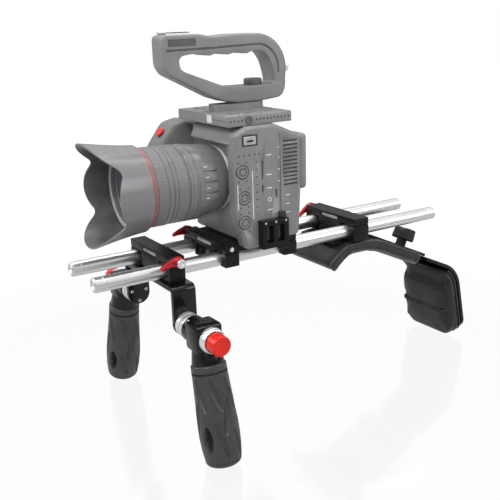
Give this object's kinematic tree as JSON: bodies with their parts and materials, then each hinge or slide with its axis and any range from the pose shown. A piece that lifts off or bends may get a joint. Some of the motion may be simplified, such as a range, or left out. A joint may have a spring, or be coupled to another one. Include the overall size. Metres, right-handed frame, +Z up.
{
  "type": "cinema camera shoulder rig",
  "caption": "Cinema camera with hooded zoom lens and top handle on a rail-rod shoulder rig, with splayed rosette hand grips in front and shoulder and back pads behind.",
  "frame": {"origin": "middle of the flat tripod face under the base plate's boss", "axes": "+Z up, +Y from the lens towards the back pad along the rods, +X to the operator's left"},
  "size_m": [0.2728, 0.4966, 0.3964],
  "materials": {
    "black_anodised": "satin black anodised aluminium",
    "polished_rod": "polished steel",
    "silver_aluminium": "bright turned aluminium",
    "red_anodised": "dark red anodised, satin",
    "red_button": "bright red, semi-gloss",
    "handle_rubber": "moulded dark grey rubber with leaf-shaped recesses",
    "pad_fabric": "black coated cloth with piped edges",
    "knob_plastic": "matt black",
    "camera_grey": "mid grey, fine satin texture",
    "camera_grip": "grey textured rubber",
    "lens_grey": "mid grey satin",
    "lens_rubber": "grey ribbed rubber",
    "lens_glass": "coated optical glass"
  },
  "bodies": {
    "rig": {"rod_left": "polished_rod", "rod_right": "polished_rod", "base_plate": "black_anodised", "base_front_clamp": "black_anodised", "base_rear_clamp": "black_anodised", "base_front_hook_left": "black_anodised", "base_front_hook_right": "black_anodised", "base_rear_hook_left": "black_anodised", "base_rear_hook_right": "black_anodised", "base_lever_bolt": "polished_rod", "camera_screw": "polished_rod", "side_bracket": "black_anodised", "camera_body": "camera_grey", "hand_grip": "camera_grip", "battery": "camera_grip", "top_plate": "camera_grey", "top_handle": "camera_grey", "lens_mount": "silver_aluminium", "lens_barrel": "lens_grey", "lens_front": "lens_grey", "front_glass": "lens_glass"},
    "base_lever": {"base_lever": "red_anodised"},
    "bracket_thumbscrew": {"bracket_thumbscrew": "polished_rod"},
    "handle_frame": {"handle_clamp": "black_anodised", "handle_hook_left": "black_anodised", "handle_hook_right": "black_anodised", "handle_lever_bolt": "polished_rod", "handle_strap": "black_anodised", "strap_rosette_left": "silver_aluminium", "strap_rosette_right": "silver_aluminium"},
    "handle_lever": {"handle_lever": "red_anodised"},
    "left_handle": {"head_rosette_left": "silver_aluminium", "handle_head_left": "black_anodised", "button_cup_left": "silver_aluminium", "grip_left": "handle_rubber", "grip_cap_left": "handle_rubber"},
    "right_handle": {"head_rosette_right": "silver_aluminium", "handle_head_right": "black_anodised", "button_cup_right": "silver_aluminium", "grip_right": "handle_rubber", "grip_cap_right": "handle_rubber"},
    "left_button": {"push_button_left": "red_button"},
    "right_button": {"push_button_right": "red_button"},
    "shoulder_frame": {"pad_clamp": "black_anodised", "pad_hook_left": "black_anodised", "pad_hook_right": "black_anodised", "pad_lever_bolt": "polished_rod", "pad_frame": "black_anodised", "shoulder_pad": "pad_fabric"},
    "pad_lever": {"pad_lever": "red_anodised"},
    "lock_knob": {"lock_knob": "knob_plastic"},
    "back_pad": {"back_plate": "black_anodised", "back_cushion": "pad_fabric"},
    "record_button": {"record_button": "red_button"},
    "handle_rear_screw": {"handle_rear_screw": "silver_aluminium"},
    "handle_lock_knob": {"handle_lock_knob": "silver_aluminium"},
    "focus_ring": {"focus_ring": "lens_rubber"},
    "zoom_ring": {"zoom_ring": "lens_rubber"},
    "control_ring": {"control_ring": "lens_grey"},
    "lens_hood": {"lens_hood": "lens_grey"}
  },
  "joints": [
    {"name": "base_lever_turn", "type": "hinge", "parent": "rig", "child": "base_lever", "pos_m": [-0.0453, -0.036, 0.0205], "axis": [1, 0, 0], "range_deg": [0, 90]},
    {"name": "bracket_screw_turn", "type": "hinge", "parent": "rig", "child": "bracket_thumbscrew", "pos_m": [0.0601, 0.0155, 0.0494], "axis": [0, 0, 1], "range_deg": [-180, 180]},
    {"name": "handle_slide", "type": "slide", "parent": "rig", "child": "handle_frame", "axis": [0, 1, 0], "range_m": [-0.055, 0.022]},
    {"name": "handle_lever_turn", "type": "hinge", "parent": "handle_frame", "child": "handle_lever", "pos_m": [0.0453, -0.0985, 0.0205], "axis": [1, 0, 0], "range_deg": [-100, 0]},
    {"name": "left_handle_tilt", "type": "hinge", "parent": "handle_frame", "child": "left_handle", "pos_m": [0.0641, -0.0985, -0.04], "axis": [1, 0, 0], "range_deg": [-90, 90]},
    {"name": "right_handle_tilt", "type": "hinge", "parent": "handle_frame", "child": "right_handle", "pos_m": [-0.0641, -0.0985, -0.04], "axis": [1, 0, 0], "range_deg": [-90, 90]},
    {"name": "left_button_push", "type": "slide", "parent": "left_handle", "child": "left_button", "axis": [-1, 0, 0], "range_m": [0, 0.004], "stiffness_N_per_m": 400},
    {"name": "right_button_push", "type": "slide", "parent": "right_handle", "child": "right_button", "axis": [1, 0, 0], "range_m": [0, 0.004], "stiffness_N_per_m": 400},
    {"name": "pad_slide", "type": "slide", "parent": "rig", "child": "shoulder_frame", "axis": [0, 1, 0], "range_m": [-0.04, 0.08]},
    {"name": "pad_lever_turn", "type": "hinge", "parent": "shoulder_frame", "child": "pad_lever", "pos_m": [-0.0453, 0.134, 0.0205], "axis": [1, 0, 0], "range_deg": [-100, 0]},
    {"name": "lock_knob_turn", "type": "hinge", "parent": "shoulder_frame", "child": "lock_knob", "pos_m": [0, 0.236, -0.03594], "axis": [0, 0.4147, 0.91], "range_deg": [-90, 90]},
    {"name": "back_slide", "type": "slide", "parent": "shoulder_frame", "child": "back_pad", "axis": [0, 0.91, -0.4147], "range_m": [0, 0.02]},
    {"name": "record_press", "type": "slide", "parent": "rig", "child": "record_button", "axis": [0, 0.7962, -0.6051], "range_m": [0, 0.001], "stiffness_N_per_m": 600},
    {"name": "focus_turn", "type": "hinge", "parent": "rig", "child": "focus_ring", "pos_m": [0, -0.112, 0.087], "axis": [0, 1, 0], "range_deg": [-60, 60]},
    {"name": "zoom_turn", "type": "hinge", "parent": "rig", "child": "zoom_ring", "pos_m": [0, -0.1, 0.087], "axis": [0, 1, 0], "range_deg": [-45, 45]},
    {"name": "control_turn", "type": "hinge", "parent": "rig", "child": "control_ring", "pos_m": [0, -0.08, 0.087], "axis": [0, 1, 0], "continuous": true},
    {"name": "hood_turn", "type": "hinge", "parent": "rig", "child": "lens_hood", "pos_m": [0, -0.116, 0.087], "axis": [0, 1, 0], "range_deg": [0, 60]},
    {"name": "handle_rear_screw_turn", "type": "hinge", "parent": "rig", "child": "handle_rear_screw", "pos_m": [0, 0.05828, 0.19447], "axis": [0, 0.9994, 0.0349], "range_deg": [-180, 180]},
    {"name": "handle_lock_turn", "type": "hinge", "parent": "rig", "child": "handle_lock_knob", "pos_m": [0, 0.023, 0.1783], "axis": [0, 0, 1], "range_deg": [-90, 90]}
  ]
}
